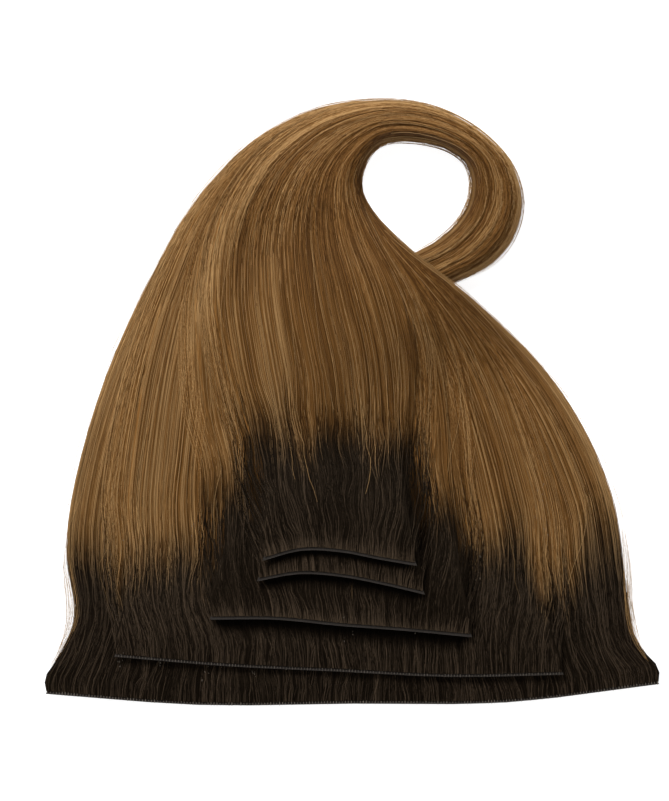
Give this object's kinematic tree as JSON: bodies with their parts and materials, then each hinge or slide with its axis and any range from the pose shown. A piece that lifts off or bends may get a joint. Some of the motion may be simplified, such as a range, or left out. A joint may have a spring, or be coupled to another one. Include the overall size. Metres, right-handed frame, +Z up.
{
  "type": "clip in hair extension",
  "caption": "Clip-in hair extension: stacked wefts of long straight hair, dark at the roots and golden brown below, combed into one looped tail.",
  "frame": {"origin": "on the surface that the piece lies on, below the middle of its box", "axes": "-Y towards the front edge of the widest weft, +X to the right seen from above, +Z up from the surface"},
  "size_m": [0.22, 0.217, 0.0233],
  "materials": {
    "hair": "straight hair, near black at the roots and golden brown below, soft sheen along the strands",
    "band": "dark sewn strip with a thin glossy grey rim",
    "clip": "dark brown lacquered steel"
  },
  "bodies": {
    "root": {"weft_1_band": "band", "weft_2_band": "band", "weft_3_band": "band", "weft_4_band": "band", "weft_5_band": "band", "weft_1_hair": "hair", "weft_2_hair": "hair", "weft_3_hair": "hair", "weft_4_hair": "hair", "weft_5_hair": "hair", "weft_1_clip_1": "clip", "weft_1_clip_2": "clip", "weft_1_clip_3": "clip", "weft_1_clip_4": "clip", "weft_2_clip_1": "clip", "weft_2_clip_2": "clip", "weft_2_clip_3": "clip", "weft_3_clip_1": "clip", "weft_3_clip_2": "clip", "weft_4_clip_1": "clip", "weft_5_clip_1": "clip"}
  },
  "joints": []
}
